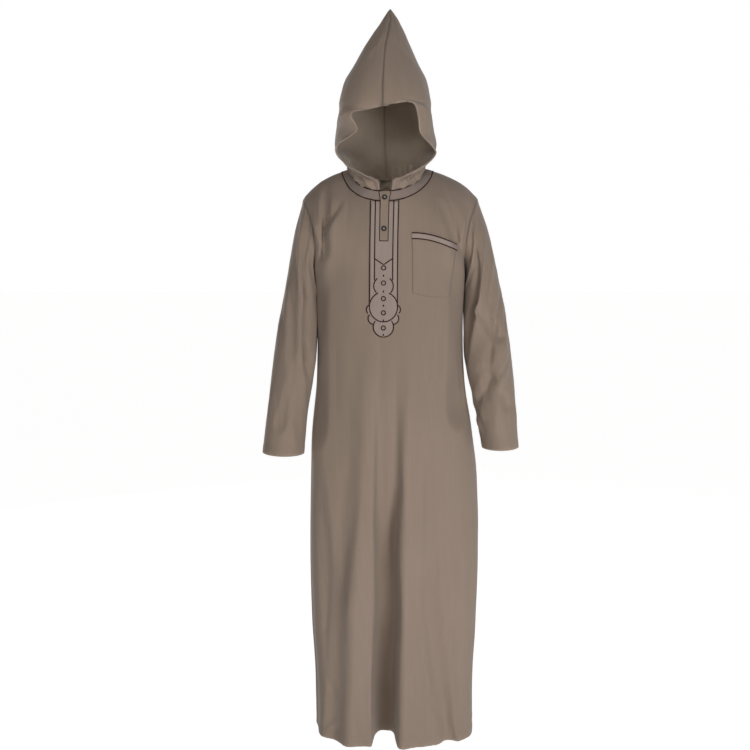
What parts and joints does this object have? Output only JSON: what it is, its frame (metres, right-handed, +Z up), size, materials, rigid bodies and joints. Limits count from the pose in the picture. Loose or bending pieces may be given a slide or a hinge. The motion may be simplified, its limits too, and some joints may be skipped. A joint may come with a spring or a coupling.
{
  "type": "hooded djellaba robe",
  "caption": "Full-length hooded djellaba robe in worn form, hollow, with long sleeves, stitched neck band and chest placket, buttons and a patch pocket.",
  "frame": {"origin": "between the shoulders at the base of the neck, where the wearer carries the garment", "axes": "+Z up, the front faces -Y, +X is the wearer's left. +Z is the longest way across the garment and +Y is the shortest"},
  "size_m": [0.63, 0.271, 1.81],
  "materials": {
    "cloth": "matt twill-woven wool blend",
    "trim": "matt plain-woven facing cloth",
    "button": "polished dark button with a raised rim"
  },
  "bodies": {
    "root": {"front_panel": "cloth", "back_panel": "cloth", "sleeve_left": "cloth", "sleeve_right": "cloth", "hood_left": "cloth", "hood_right": "cloth", "neck_band_front": "trim", "neck_band_back": "trim", "chest_facing": "trim", "placket_strip": "cloth", "button_top": "button", "button_low": "button", "pocket": "cloth", "pocket_band": "trim"}
  },
  "joints": []
}
